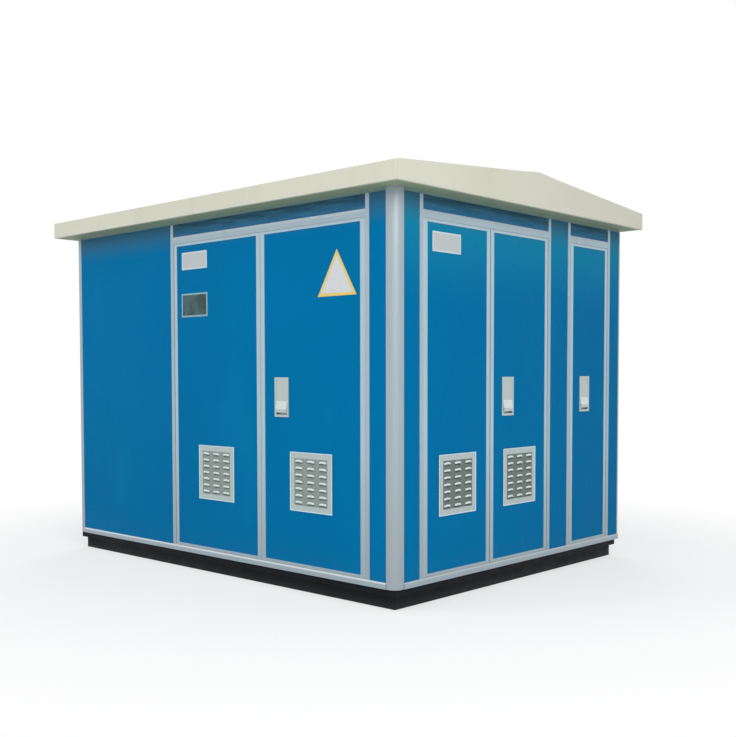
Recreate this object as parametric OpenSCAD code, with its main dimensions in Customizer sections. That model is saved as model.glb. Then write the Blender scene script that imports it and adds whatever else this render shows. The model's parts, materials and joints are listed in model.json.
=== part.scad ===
// Compact substation housing: a framed sandwich-panel cabin with a double door
// on its long front, a double door and a narrow door on its right end, fixed
// louvred panels on the two other sides, and a low gable roof.
// Origin at the bottom centre of the base, +X along the length, front at -Y, +Z up.

/* [Housing] */
// Length of the housing between its end faces
body_l = 3220; // [2700:10:4200]
// Width of the housing between its front and rear faces
body_w = 2480; // [2200:10:3000]
// Height from the underside of the sill rails to the soffit
wall_h = 2244; // [2000:4:2600]
// How far the panels lie behind the faces of the frames and edgings
panel_recess = 3; // [1:1:6]

/* [Base] */
// Height of the base beams
base_h = 120; // [80:5:200]
// How far the base beams stand back from the wall faces
base_recess = 43; // [25:1:80]
// Wall thickness of the channel beams
channel_t = 8; // [5:1:12]
// Flange width of the channel beams
channel_flange = 60; // [40:5:90]
// Thickness of the ledge plate that carries the sill rails
ledge_t = 40; // [12:2:60]
// How far the ledge plate stands back from the wall faces
ledge_recess = 15; // [4:1:24]
// Number of inner cross beams
cross_beams = 3; // [1:1:5]
// Thickness of the floor plate
floor_t = 6; // [3:1:12]

/* [Frames] */
// Width of each face of a front corner post
corner_w = 72; // [62:1:90]
// Outer radius of a front corner post
corner_r = 52; // [30:1:60]
// Wall thickness of the front corner posts
corner_t = 5; // [3:1:8]
// Width of each arm of the angles on the rear corners
angle_w = 14; // [8:1:30]
// Height of the sill rails
sill_h = 36; // [30:1:60]
// How far the sill rails stand proud of the walls
sill_proud = 4; // [2:1:10]
// Height of the weather slope along the top of the sill rails
sill_slope = 9; // [4:1:20]
// Height of the dark rails between the walls and the roof
top_rail_h = 21; // [10:1:40]
// How far the dark rails stand back from the wall faces
top_rail_recess = 6; // [2:1:12]
// Width of the fixed door posts
post_w = 30; // [22:1:50]
// Height of the header rails over the doors
header_h = 45; // [35:1:70]
// Height of the weather slope along the top of the header rails
header_slope = 16; // [6:1:20]
// Height of the transom panels over the header rails
transom_h = 84; // [50:1:160]
// Width of the stop lip behind a closed leaf
stop_w = 15; // [8:1:20]
// Thickness of the stop lip
stop_t = 9; // [4:1:20]
// Gap between a closed leaf and its stop lip
stop_gap = 7; // [6:1:10]

/* [Door bays] */
// From the right corner to the front bay
front_margin = 196; // [110:1:400]
// Outer width of the front bay, its posts included
front_bay_w = 1835; // [1400:5:2100]
// From the front corner to the double bay of the right end
end_margin = 209; // [110:1:260]
// Width of the pilaster between the two bays of the right end
pilaster_w = 212; // [120:4:240]
// Outer width of the single bay
single_bay_w = 561; // [500:5:600]
// From the single bay to the rear corner, the double bay takes the rest of the width
last_margin = 142; // [100:1:200]

/* [Leaves] */
// Thickness of a leaf
leaf_t = 34; // [28:1:36]
// Width of the upright edging profiles of a leaf
stile_w = 34; // [26:1:50]
// Height of the top and bottom edging profiles of a leaf
rail_h = 16; // [12:1:30]
// Gap between a leaf and its frame
leaf_gap = 5; // [5:1:8]
// Gap between the two leaves of a double door
meeting_gap = 7; // [6:1:10]
// Radius of the hinge pins
pin_r = 4; // [3:0.5:5]
// Length of a hinge pin inside its bore
pin_seat = 14; // [8:1:20]
// Radial running clearance of a hinge pin
pin_play = 0.05; // [0.03:0.01:0.1]

/* [Vents] */
// Width of a vent plate
vent_w = 360; // [330:2:380]
// Height of a vent plate
vent_h = 360; // [320:2:420]
// Height of the middle of the vents over the sill's underside
vent_z = 557; // [400:1:800]
// Thickness of the rim of a vent plate
vent_t = 4; // [3:0.5:6]
// From the outermost louvres to the edge of the sunken field
field_margin = 6; // [2:1:10]
// How far the sunken field lies behind the rim
field_recess = 1.5; // [0.5:0.5:2]
// How far a vent plate laps over the edge of the cut-out behind it
vent_lap = 30; // [15:1:38]
// Louvre columns
louvre_columns = 3; // [2:1:3]
// Louvre rows
louvre_rows = 7; // [4:1:7]
// Width of one louvre hood
hood_w = 64; // [50:1:76]
// Height of one louvre hood
hood_h = 18; // [12:1:20]
// Height of the open mouth below a hood
mouth_h = 5; // [3:1:14]
// How far a hood stands out of the sunken field
hood_d = 10; // [6:1:12]
// Sheet thickness of a hood
hood_t = 2; // [1.5:0.5:3]
// How far each end of a hood slopes in towards its crest
hood_cheek = 12; // [4:1:16]
// Distance between louvre columns
column_pitch = 102; // [80:1:104]
// Distance between louvre rows
row_pitch = 41.5; // [36:0.5:42]

/* [Fittings] */
// Width of a handle plate
handle_w = 125; // [90:1:150]
// Height of a handle plate
handle_h = 243; // [180:1:280]
// Thickness of a handle plate
handle_t = 5; // [3:1:8]
// Width of the raised rim round a handle plate
handle_rim = 14; // [8:1:20]
// Height of the pull flap
flap_h = 67; // [50:1:90]
// Height of the finger gap below the pull flap
finger_gap = 13; // [10:1:24]
// How far the pull flap bulges out of the plate
flap_bulge = 8; // [6:1:12]
// How far the foot of the pull flap is tucked in from its crest
flap_tuck = 4; // [0:1:6]
// Depth of the finger dish behind the plate
dish_d = 16; // [12:1:20]
// Height of the middle of the handles over the sill's underside
handle_z = 1067; // [900:1:1300]
// From the free edge of a leaf to the middle of its handle
handle_inset = 187; // [120:1:240]
// Width of the observation window's opening
window_w = 256; // [160:2:300]
// Height of the observation window's opening
window_h = 140; // [80:2:200]
// From the top of a leaf down to the middle of the window
window_drop = 418; // [360:1:600]
// Width of a name plate
plate_w = 266; // [180:2:320]
// Height of a name plate
plate_h = 116; // [80:2:160]
// From the top of a leaf down to the middle of its name plate
plate_drop = 121; // [100:1:200]
// From the hinge edge of the front left leaf to the middle of its name plate and window
front_plate_inset = 221; // [180:1:300]
// From the hinge edge of the end left leaf to the middle of its name plate
end_plate_inset = 214; // [180:1:280]
// Thickness of the plates
plate_t = 2; // [1:0.5:4]
// Side of the triangular plate
sign_side = 312; // [200:2:360]
// From the top of a leaf down to the triangular plate's lower edge
sign_drop = 427; // [380:1:600]
// From the hinge edge of the leaf to the middle of the triangular plate
sign_inset = 220; // [200:1:300]

/* [Roof] */
// Overhang of the roof beyond the walls
overhang = 120; // [60:5:250]
// Height of the eave fascia
fascia_h = 109; // [80:1:160]
// Thickness of the fascia boards
fascia_t = 24; // [20:1:40]
// Radius of the upright corners of the roof
roof_corner_r = 22; // [5:1:24]
// Rise of the ridge over the eaves
roof_rise = 109; // [60:1:300]
// Thickness of the roof panels
roof_t = 30; // [20:1:50]
// Thickness of the ceiling plate
ceiling_t = 12; // [6:1:30]
// Width of the ridge cap
ridge_w = 220; // [120:10:400]
// Thickness of the ridge cap
ridge_t = 3; // [2:1:6]

/* [Hidden] */
$fn = 48;
// Hairline joint between profiles of one node
seam = 0.3;
over = 1;
sill_top = base_h + sill_h;
soffit_z = base_h + wall_h;
wall_top = soffit_z - top_rail_h;
header_top = wall_top - transom_h;
header_z = header_top - header_h;
leaf_z0 = sill_top + leaf_gap;
leaf_z1 = header_z - leaf_gap;
leaf_h = leaf_z1 - leaf_z0;
floor_top = base_h + floor_t;
// Depth behind the wall face at which a door stop begins, and where the wall ends
stop_y = leaf_t + stop_gap;
wall_t = stop_y + stop_t;
panel_face = panel_recess;
// Axis of a hinge pin, from the hinge edge and from the outer face of the leaf
pin_x = 10;
pin_y = 6;
nose_r = pin_y;
pin_end_play = 2;
pin_hole = pin_r + pin_play;
pin_hole_h = pin_seat + pin_end_play;

front_start = body_l - front_margin - front_bay_w;
end_bay_w = body_w - end_margin - pilaster_w - single_bay_w - last_margin;
single_start = end_margin + end_bay_w + pilaster_w;
end_last = single_start + single_bay_w;
front_leaf_w = (front_bay_w - 2 * post_w - 2 * leaf_gap - meeting_gap) / 2;
end_leaf_w = (end_bay_w - 2 * post_w - 2 * leaf_gap - meeting_gap) / 2;
single_leaf_w = single_bay_w - 2 * post_w - 2 * leaf_gap;
front_leaf_x = [front_start + post_w + leaf_gap,
                front_start + front_bay_w - post_w - leaf_gap - front_leaf_w];
end_leaf_x = [end_margin + post_w + leaf_gap,
              end_margin + end_bay_w - post_w - leaf_gap - end_leaf_w];
single_leaf_x = single_start + post_w + leaf_gap;
// Rim round the observation window, its lap over the pane's edge, and the pane
window_rim = 9;
window_rim_t = 3;
window_lap = 2;
pane_t = 5;
window_x = front_leaf_x[0] + front_plate_inset;
// Wall of a handle's dish, and the clearances of the dish and of the pull flap
dish_wall = 2;
dish_play = 0.3;
flap_play = 1;
flap_t = 3;
roof_l = body_l + 2 * overhang;
roof_w = body_w + 2 * overhang;
eave_z = soffit_z + fascia_h;

// Each wall has its own frame: x along the wall seen from outside, y into the housing
module on_front() {
    translate([-body_l / 2, -body_w / 2, 0]) children();
}

module on_right() {
    translate([body_l / 2, -body_w / 2, 0]) rotate(90) children();
}

module on_rear() {
    translate([body_l / 2, body_w / 2, 0]) rotate(180) children();
}

module on_left() {
    translate([-body_l / 2, body_w / 2, 0]) rotate(-90) children();
}

// A block from one corner to the opposite one
module block(low, high) {
    translate(low) cube(high - low);
}

// A profile drawn in y and z and run along x
module run_x(x0, x1) {
    translate([x0, 0, 0]) rotate([90, 0, 90]) linear_extrude(x1 - x0) children();
}

// Channel section, its web at y = 0 and its flanges towards +y
module channel(flange, height) {
    square([channel_t, height]);
    square([flange, channel_t]);
    translate([0, height - channel_t]) square([flange, channel_t]);
}

module base_long_beams() {
    color([0.14, 0.16, 0.18])
    for (side = [0, 1])
        mirror([0, side, 0])
            on_front() {
                translate([0, base_recess, 0])
                    run_x(base_recess, body_l - base_recess) channel(channel_flange, base_h);
                block([ledge_recess, ledge_recess, base_h - ledge_t],
                      [body_l - ledge_recess, base_recess, base_h]);
            }
}

module base_cross_beams() {
    inner_y = base_recess + channel_flange;
    span = body_l - 2 * base_recess - channel_flange;
    end_plate_w = channel_flange - channel_t - seam;
    color([0.14, 0.16, 0.18]) {
        for (side = [0, 1])
            mirror([side, 0, 0])
                on_right() {
                    translate([0, base_recess, 0])
                        run_x(inner_y, body_w - inner_y) channel(channel_flange, base_h);
                    block([base_recess + seam, ledge_recess + seam, base_h - ledge_t],
                          [body_w - base_recess - seam, base_recess, base_h]);
                    for (y = [base_recess + channel_t + seam, body_w - inner_y])
                        block([y, base_recess, channel_t + seam],
                              [y + end_plate_w, base_recess + channel_t, base_h - channel_t - seam]);
                }
        for (i = [1 : cross_beams])
            translate([-body_l / 2 + base_recess + i * span / (cross_beams + 1), -body_w / 2, 0])
                rotate(90) mirror([0, 1, 0])
                    run_x(inner_y, body_w - inner_y) channel(channel_flange, base_h);
    }
}

module floor_plate() {
    color([0.4, 0.42, 0.44])
        block([-body_l / 2 + wall_t + seam, -body_w / 2 + wall_t + seam, base_h],
              [body_l / 2 - wall_t - seam, body_w / 2 - wall_t - seam, floor_top]);
}

// Outline of a corner post with its corner at the origin, drawn in by t all round
module corner_outline(t) {
    difference() {
        union() {
            translate([corner_r, t]) square([corner_w - corner_r - t, corner_w - 2 * t]);
            translate([t, corner_r]) square([corner_w - 2 * t, corner_w - corner_r - t]);
            intersection() {
                translate([corner_r, corner_r]) circle(corner_r - t);
                square(corner_r);
            }
        }
        translate([wall_t - t, wall_t - t]) square(corner_w);
    }
}

// Angle over the edge of a side wall at a rear corner, with its corner at the origin
module corner_angle() {
    difference() {
        square(angle_w);
        translate([panel_recess, panel_recess]) square(angle_w);
    }
}

// Posts on the front corners, angles on the rear ones
module corner_posts() {
    color([0.68, 0.73, 0.76])
    for (sx = [0, 1])
        mirror([sx, 0, 0]) {
            translate([-body_l / 2, -body_w / 2, base_h])
                linear_extrude(wall_h) difference() {
                    corner_outline(0);
                    corner_outline(corner_t);
                }
            translate([-body_l / 2, body_w / 2, sill_top]) mirror([0, 1, 0])
                linear_extrude(wall_top - sill_top) corner_angle();
        }
}

module sill(x0, x1) {
    run_x(x0, x1)
        polygon([[-sill_proud, base_h], [wall_t, base_h], [wall_t, sill_top], [0, sill_top],
                 [-sill_proud, sill_top - sill_slope]]);
}

// Bores for the hinge pins of a bay, at the given places along the wall
module pin_bores(places) {
    for (x = places)
        translate([x, pin_y, 0]) {
            translate([0, 0, header_z - over]) cylinder(r = pin_hole, h = pin_hole_h + over);
            translate([0, 0, sill_top - pin_hole_h]) cylinder(r = pin_hole, h = pin_hole_h + over);
        }
}

front_pins = [front_leaf_x[0] + pin_x, front_leaf_x[1] + front_leaf_w - pin_x];
end_pins = [end_leaf_x[0] + pin_x, end_leaf_x[1] + end_leaf_w - pin_x,
            single_leaf_x + single_leaf_w - pin_x];

module sill_rails() {
    color([0.68, 0.76, 0.79]) {
        on_front() difference() {
            sill(corner_w, body_l - corner_w);
            pin_bores(front_pins);
        }
        on_right() difference() {
            sill(corner_w, body_w + sill_proud);
            pin_bores(end_pins);
        }
        on_rear() sill(wall_t + seam, body_l - wall_t - seam);
        on_left() sill(-sill_proud, body_w - corner_w);
    }
}

// Two posts with their stop lips, and the header between them
module bay_frame(start, width) {
    for (side = [0, 1])
        translate([start + side * width, 0, sill_top]) mirror([side, 0, 0]) {
            cube([post_w, wall_t, wall_top - sill_top]);
            translate([post_w, stop_y, 0]) cube([stop_w, stop_t, header_top - sill_top]);
        }
    run_x(start + post_w + seam, start + width - post_w - seam)
        header_section(stop_y - seam);
    run_x(start + post_w + stop_w + seam, start + width - post_w - stop_w - seam) {
        header_section(wall_t);
        translate([stop_y, header_z - stop_w]) square([stop_t, stop_w]);
    }
}

// Header rail in section, its weather slope ending at the face of the transom panel
module header_section(depth) {
    polygon([[0, header_z], [depth, header_z], [depth, header_top], [panel_recess, header_top],
             [0, header_top - header_slope]]);
}

module front_frame() {
    color([0.68, 0.76, 0.79])
    on_front() difference() {
        bay_frame(front_start, front_bay_w);
        pin_bores(front_pins);
    }
}

module end_frame() {
    color([0.68, 0.76, 0.79])
    on_right() difference() {
        union() {
            bay_frame(end_margin, end_bay_w);
            bay_frame(single_start, single_bay_w);
        }
        pin_bores(end_pins);
    }
}

module wall_panel(x0, x1, z0, z1) {
    block([x0, panel_recess, z0], [x1, wall_t, z1]);
}

// Plain panels of a long wall around one bay, up to the given distance from its corners
module long_wall(end) {
    wall_panel(end, front_start, sill_top, wall_top);
    wall_panel(front_start + front_bay_w, body_l - end, sill_top, wall_top);
    wall_panel(front_start + post_w + seam, front_start + front_bay_w - post_w - seam,
               header_top, wall_top);
}

// Plain panels of a short wall around its two bays, between the given places
module short_wall(first, last) {
    wall_panel(first, end_margin, sill_top, wall_top);
    wall_panel(end_margin + end_bay_w, single_start, sill_top, wall_top);
    wall_panel(end_last, last, sill_top, wall_top);
    for (bay = [[end_margin, end_bay_w], [single_start, single_bay_w]])
        wall_panel(bay[0] + post_w + seam, bay[0] + bay[1] - post_w - seam, header_top, wall_top);
}

module front_wall() {
    color([0.03, 0.43, 0.61]) on_front() long_wall(corner_w);
}

module end_wall() {
    color([0.03, 0.43, 0.61]) on_right() short_wall(corner_w, body_w - panel_recess);
}

module rear_frame() {
    color([0.68, 0.76, 0.79]) on_rear() bay_frame(front_start, front_bay_w);
}

module left_frame() {
    color([0.68, 0.76, 0.79])
    on_left() {
        bay_frame(end_margin, end_bay_w);
        bay_frame(single_start, single_bay_w);
    }
}

// Fixed panel that fills a bay in place of its leaves, cut out behind its vents
module fixed_panel(start, width, vents) {
    x0 = start + post_w;
    difference() {
        block([x0, panel_recess, sill_top], [x0 + width - 2 * post_w, stop_y, header_z]);
        for (x = vents)
            vent_opening(x, 0, stop_y);
    }
}

rear_vent_x = [for (x = front_leaf_x) x + front_leaf_w / 2];
left_vent_x = [for (x = end_leaf_x) x + end_leaf_w / 2];

module rear_wall() {
    color([0.03, 0.43, 0.61])
    on_rear() {
        long_wall(wall_t);
        fixed_panel(front_start, front_bay_w, rear_vent_x);
    }
}

module left_wall() {
    color([0.03, 0.43, 0.61])
    on_left() {
        short_wall(panel_recess, body_w - corner_w);
        fixed_panel(end_margin, end_bay_w, left_vent_x);
        fixed_panel(single_start, single_bay_w, []);
    }
}

// Cut-out behind a vent plate whose middle is at x
module vent_opening(x, y0, y1) {
    block([x - vent_w / 2 + vent_lap, y0 - over, base_h + vent_z - vent_h / 2 + vent_lap],
          [x + vent_w / 2 - vent_lap, y1 + over, base_h + vent_z + vent_h / 2 - vent_lap]);
}

// Outline of a hood from the side, open at its foot
module hood_side(r, inset) {
    intersection() {
        translate([r_centre(), 0]) circle(r);
        translate([-hood_d, -inset]) square([hood_d + inset, hood_h + inset]);
    }
}

function r_hood() = (hood_h * hood_h + hood_d * hood_d) / (2 * hood_d);
function r_centre() = r_hood() - hood_d;

// Solid form of a hood with sloping ends, drawn in by t and run on past its foot and back
module hood_form(t, inset) {
    slope = hood_cheek / hood_d;
    foot = hood_w / 2 - t;
    intersection() {
        run_x(-foot - over, foot + over) hood_side(r_hood() - t, inset);
        translate([0, 0, -over])
            linear_extrude(hood_h + 2 * over)
                polygon([[-foot - slope * over, over], [foot + slope * over, over],
                         [foot - hood_cheek, -hood_d], [-foot + hood_cheek, -hood_d]]);
    }
}

module hood() {
    difference() {
        hood_form(0, 0);
        hood_form(hood_t, over);
    }
}

// Vent plate with its middle at x and its back on the panel face at y
module vent(x, y) {
    field_x = ((louvre_columns - 1) * column_pitch + hood_w) / 2 + field_margin;
    field_z = ((louvre_rows - 1) * row_pitch + hood_h + mouth_h) / 2 + field_margin;
    translate([x, y - vent_t, base_h + vent_z]) {
        difference() {
            block([-vent_w / 2, 0, -vent_h / 2], [vent_w / 2, vent_t, vent_h / 2]);
            block([-field_x, -over, -field_z], [field_x, field_recess, field_z]);
            louvre_places()
                block([-hood_w / 2 + hood_t, -over, -mouth_h],
                      [hood_w / 2 - hood_t, vent_t + over, hood_h - 2 * hood_t]);
        }
        louvre_places() translate([0, field_recess, 0]) hood();
    }
}

// The foot of each hood, each hood and its mouth centred on its place in the pattern
module louvre_places() {
    for (i = [0 : louvre_columns - 1], j = [0 : louvre_rows - 1])
        translate([(i - (louvre_columns - 1) / 2) * column_pitch, 0,
                   (j - (louvre_rows - 1) / 2) * row_pitch + (mouth_h - hood_h) / 2])
            children();
}

module rear_vents() {
    color([0.55, 0.58, 0.56]) on_rear() for (x = rear_vent_x) vent(x, panel_recess);
}

module left_vents() {
    color([0.55, 0.58, 0.56]) on_left() for (x = left_vent_x) vent(x, panel_recess);
}

module top_rails() {
    color([0.3, 0.35, 0.33]) {
        for (side = [0, 1])
            mirror([side, 0, 0]) on_right()
                block([corner_w, top_rail_recess, wall_top],
                      [body_w - top_rail_recess, wall_t, soffit_z]);
        on_front()
            block([corner_w, top_rail_recess, wall_top], [body_l - corner_w, wall_t, soffit_z]);
        on_rear()
            block([wall_t + seam, top_rail_recess, wall_top],
                  [body_l - wall_t - seam, wall_t, soffit_z]);
    }
}

module ceiling_plate() {
    inset = fascia_t;
    color([0.42, 0.46, 0.42])
        block([-roof_l / 2 + inset, -roof_w / 2 + inset, soffit_z],
              [roof_l / 2 - inset, roof_w / 2 - inset, soffit_z + ceiling_t]);
}

// Gable outline in y and z, dropped by the given depth
module gable(drop) {
    polygon([[-roof_w / 2, soffit_z], [roof_w / 2, soffit_z], [roof_w / 2, eave_z - drop],
             [0, eave_z + roof_rise - drop], [-roof_w / 2, eave_z - drop]]);
}

module roof_panels() {
    x = roof_l / 2 - fascia_t;
    y = roof_w / 2 - fascia_t;
    color([0.8, 0.8, 0.76])
    for (side = [0, 1])
        mirror([0, side, 0])
            intersection() {
                run_x(-x, x) difference() {
                    gable(0);
                    gable(roof_t);
                }
                block([-x, seam / 2, soffit_z], [x, y, eave_z + roof_rise]);
            }
}

module eave_fascias() {
    x = roof_l / 2 - fascia_t;
    color([0.82, 0.82, 0.77])
    for (side = [0, 1])
        mirror([0, side, 0])
            intersection() {
                run_x(-x, x) gable(0);
                block([-x, roof_w / 2 - fascia_t, soffit_z], [x, roof_w / 2, eave_z + roof_rise]);
            }
}

module gable_fascias() {
    color([0.82, 0.82, 0.77])
    for (side = [0, 1])
        mirror([side, 0, 0])
            intersection() {
                run_x(roof_l / 2 - fascia_t, roof_l / 2) gable(0);
                translate([0, 0, soffit_z]) linear_extrude(fascia_h + roof_rise) gable_plan();
            }
}

// Plan of an end board with its two outer corners rounded
module gable_plan() {
    r = roof_corner_r;
    translate([roof_l / 2 - fascia_t, -roof_w / 2]) square([fascia_t - r, roof_w]);
    translate([roof_l / 2 - r, -roof_w / 2 + r]) square([r, roof_w - 2 * r]);
    for (side = [-1, 1])
        translate([roof_l / 2 - r, side * (roof_w / 2 - r)]) circle(r);
}

module ridge_cap() {
    color([0.8, 0.8, 0.76])
    run_x(-roof_l / 2, roof_l / 2) intersection() {
        difference() {
            translate([0, ridge_t]) gable(0);
            gable(0);
        }
        translate([-ridge_w / 2, eave_z]) square([ridge_w, roof_rise + ridge_t]);
    }
}

// Upright edging profile of a leaf, with a rounded outer corner where it is hinged
module stile_section(hinged) {
    difference() {
        square([stile_w, leaf_t]);
        if (hinged)
            difference() {
                square(nose_r);
                translate([nose_r, nose_r]) circle(nose_r);
            }
    }
}

// Edging of a leaf that starts at x, hinged at its low or its high end
module edging(x, width, hinge_high) {
    for (side = [0, 1]) {
        hinged = (side == 1) == hinge_high;
        translate([x + side * width, 0, 0]) mirror([side, 0, 0]) {
            translate([0, 0, leaf_z0]) linear_extrude(leaf_h) stile_section(hinged);
            if (hinged)
                translate([pin_x, pin_y, leaf_z0 - leaf_gap - pin_seat])
                    cylinder(r = pin_r, h = leaf_h + 2 * (leaf_gap + pin_seat));
        }
    }
    for (z = [leaf_z0, leaf_z1 - rail_h])
        block([x + stile_w + seam, 0, z], [x + width - stile_w - seam, leaf_t, z + rail_h]);
}

// Sandwich panel of a leaf, with a cut-out behind its vent
module leaf_panel(x, width, has_vent) {
    difference() {
        block([x + stile_w, panel_face, leaf_z0 + rail_h],
              [x + width - stile_w, leaf_t - panel_face, leaf_z1 - rail_h]);
        if (has_vent)
            vent_opening(x + width / 2, 0, leaf_t);
    }
}

// Places its children at the lower left corner of the handle of a leaf that starts at x
module at_handle(x) {
    translate([x + handle_inset - handle_w / 2, panel_face, base_h + handle_z - handle_h / 2])
        children();
}

// The dish behind a handle plate, grown by a margin
module dish_block(grow) {
    low = handle_rim - dish_wall - grow;
    block([low, -over, low],
          [handle_w - low, dish_d + grow, handle_rim + finger_gap + flap_h + dish_wall + grow]);
}

// Flush handle: a rimmed plate, a dish behind it and a pull flap over the dish
module handle() {
    flap_z = handle_rim + finger_gap;
    difference() {
        union() {
            translate([0, -handle_t, 0]) cube([handle_w, handle_t, handle_h]);
            dish_block(0);
        }
        block([handle_rim, -handle_t - over, handle_rim],
              [handle_w - handle_rim, -handle_t / 2, handle_h - handle_rim]);
        block([handle_rim, -handle_t - over, handle_rim],
              [handle_w - handle_rim, dish_d - dish_wall, flap_z + flap_h]);
    }
    flap_x = handle_rim + flap_play;
    translate([0, 0, flap_z]) {
        run_x(flap_x, handle_w - flap_x) flap_section(flap_t);
        for (x = [flap_x, handle_w - flap_x - flap_t])
            run_x(x, x + flap_t) flap_section(flap_bulge + handle_t);
    }
}

// Pull flap in section, or with a greater depth one of the cheeks that close its sides
module flap_section(depth) {
    face = -handle_t / 2;
    crest = face - flap_bulge;
    foot = crest + flap_tuck;
    polygon([[face, flap_h + flap_t], [crest, flap_h / 3], [foot, 0],
             [min(0, foot + depth), 0], [min(0, crest + depth), flap_h / 3],
             [min(0, face + depth), flap_h], [0, flap_h + flap_t]]);
}

module front_left_edging() {
    color([0.68, 0.76, 0.79]) on_front() edging(front_leaf_x[0], front_leaf_w, false);
}

module front_right_edging() {
    color([0.68, 0.76, 0.79]) on_front() edging(front_leaf_x[1], front_leaf_w, true);
}

module end_left_edging() {
    color([0.68, 0.76, 0.79]) on_right() edging(end_leaf_x[0], end_leaf_w, false);
}

module end_right_edging() {
    color([0.68, 0.76, 0.79]) on_right() edging(end_leaf_x[1], end_leaf_w, true);
}

module single_edging() {
    color([0.68, 0.76, 0.79]) on_right() edging(single_leaf_x, single_leaf_w, true);
}

module front_left_panel() {
    color([0.03, 0.43, 0.61])
    on_front() difference() {
        leaf_panel(front_leaf_x[0], front_leaf_w, true);
        window_block(0, -over, leaf_t + over);
    }
}

module front_right_panel() {
    color([0.03, 0.43, 0.61])
    on_front() difference() {
        leaf_panel(front_leaf_x[1], front_leaf_w, true);
        at_handle(front_leaf_x[1]) dish_block(dish_play);
    }
}

module end_left_panel() {
    color([0.03, 0.43, 0.61]) on_right() leaf_panel(end_leaf_x[0], end_leaf_w, true);
}

module end_right_panel() {
    color([0.03, 0.43, 0.61])
    on_right() difference() {
        leaf_panel(end_leaf_x[1], end_leaf_w, true);
        at_handle(end_leaf_x[1]) dish_block(dish_play);
    }
}

module single_panel() {
    color([0.03, 0.43, 0.61])
    on_right() difference() {
        leaf_panel(single_leaf_x, single_leaf_w, false);
        at_handle(single_leaf_x) dish_block(dish_play);
    }
}

module front_left_vent() {
    color([0.55, 0.58, 0.56]) on_front() vent(front_leaf_x[0] + front_leaf_w / 2, panel_face);
}

module front_right_vent() {
    color([0.55, 0.58, 0.56]) on_front() vent(front_leaf_x[1] + front_leaf_w / 2, panel_face);
}

module end_left_vent() {
    color([0.55, 0.58, 0.56]) on_right() vent(end_leaf_x[0] + end_leaf_w / 2, panel_face);
}

module end_right_vent() {
    color([0.55, 0.58, 0.56]) on_right() vent(end_leaf_x[1] + end_leaf_w / 2, panel_face);
}

module front_right_handle() {
    color([0.6, 0.63, 0.62]) on_front() at_handle(front_leaf_x[1]) handle();
}

module end_right_handle() {
    color([0.6, 0.63, 0.62]) on_right() at_handle(end_leaf_x[1]) handle();
}

module single_handle() {
    color([0.6, 0.63, 0.62]) on_right() at_handle(single_leaf_x) handle();
}

// The window's opening grown by a margin, between two depths
module window_block(grow, y0, y1) {
    z = leaf_z1 - window_drop;
    block([window_x - window_w / 2 - grow, y0, z - window_h / 2 - grow],
          [window_x + window_w / 2 + grow, y1, z + window_h / 2 + grow]);
}

module window_frame() {
    color([0.75, 0.78, 0.78])
    on_front() difference() {
        window_block(window_rim, panel_face - window_rim_t, panel_face);
        window_block(-window_lap, -leaf_t, leaf_t);
    }
}

module window_pane() {
    color([0.2, 0.28, 0.3, 0.6]) on_front() window_block(-seam, panel_face, panel_face + pane_t);
}

module name_plate(x) {
    z = leaf_z1 - plate_drop;
    block([x - plate_w / 2, panel_face - plate_t, z - plate_h / 2],
          [x + plate_w / 2, panel_face, z + plate_h / 2]);
}

module front_left_plate() {
    color([0.78, 0.8, 0.8]) on_front() name_plate(window_x);
}

module end_left_plate() {
    color([0.78, 0.8, 0.8]) on_right() name_plate(end_leaf_x[0] + end_plate_inset);
}

module triangular_plate() {
    x = front_leaf_x[1] + front_leaf_w - sign_inset;
    color([0.88, 0.78, 0.4])
    on_front()
        translate([x, panel_face, leaf_z1 - sign_drop]) rotate([90, 0, 0])
            linear_extrude(plate_t)
                polygon([[-sign_side / 2, 0], [sign_side / 2, 0], [0, sign_side * sin(60)]]);
}

base_long_beams();
base_cross_beams();
floor_plate();
corner_posts();
sill_rails();
front_frame();
front_wall();
end_frame();
end_wall();
rear_frame();
rear_wall();
rear_vents();
left_frame();
left_wall();
left_vents();
top_rails();
ceiling_plate();
roof_panels();
eave_fascias();
gable_fascias();
ridge_cap();
front_left_edging();
front_left_panel();
front_left_vent();
front_left_plate();
window_frame();
window_pane();
front_right_edging();
front_right_panel();
front_right_vent();
front_right_handle();
triangular_plate();
end_left_edging();
end_left_panel();
end_left_vent();
end_left_plate();
end_right_edging();
end_right_panel();
end_right_vent();
end_right_handle();
single_edging();
single_panel();
single_handle();
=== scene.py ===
"""Finishes, small parts, light and camera for the compact substation housing. All lengths are in metres."""

import json
import math

import bmesh
import bpy
from mathutils import Matrix, Vector


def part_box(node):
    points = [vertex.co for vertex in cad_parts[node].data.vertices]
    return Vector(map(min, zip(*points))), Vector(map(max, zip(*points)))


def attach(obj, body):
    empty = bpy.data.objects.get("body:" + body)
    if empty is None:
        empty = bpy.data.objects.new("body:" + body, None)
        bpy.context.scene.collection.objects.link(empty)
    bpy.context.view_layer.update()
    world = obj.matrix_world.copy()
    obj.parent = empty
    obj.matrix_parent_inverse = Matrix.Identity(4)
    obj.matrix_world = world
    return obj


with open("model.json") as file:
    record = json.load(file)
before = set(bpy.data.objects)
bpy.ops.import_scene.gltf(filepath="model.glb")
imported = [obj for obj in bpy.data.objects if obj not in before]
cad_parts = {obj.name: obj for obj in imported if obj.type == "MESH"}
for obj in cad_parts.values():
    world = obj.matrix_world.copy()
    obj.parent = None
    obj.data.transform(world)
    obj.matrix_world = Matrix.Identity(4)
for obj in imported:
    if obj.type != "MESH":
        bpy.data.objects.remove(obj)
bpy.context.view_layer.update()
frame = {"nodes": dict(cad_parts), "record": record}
nodes = frame["nodes"]

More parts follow.
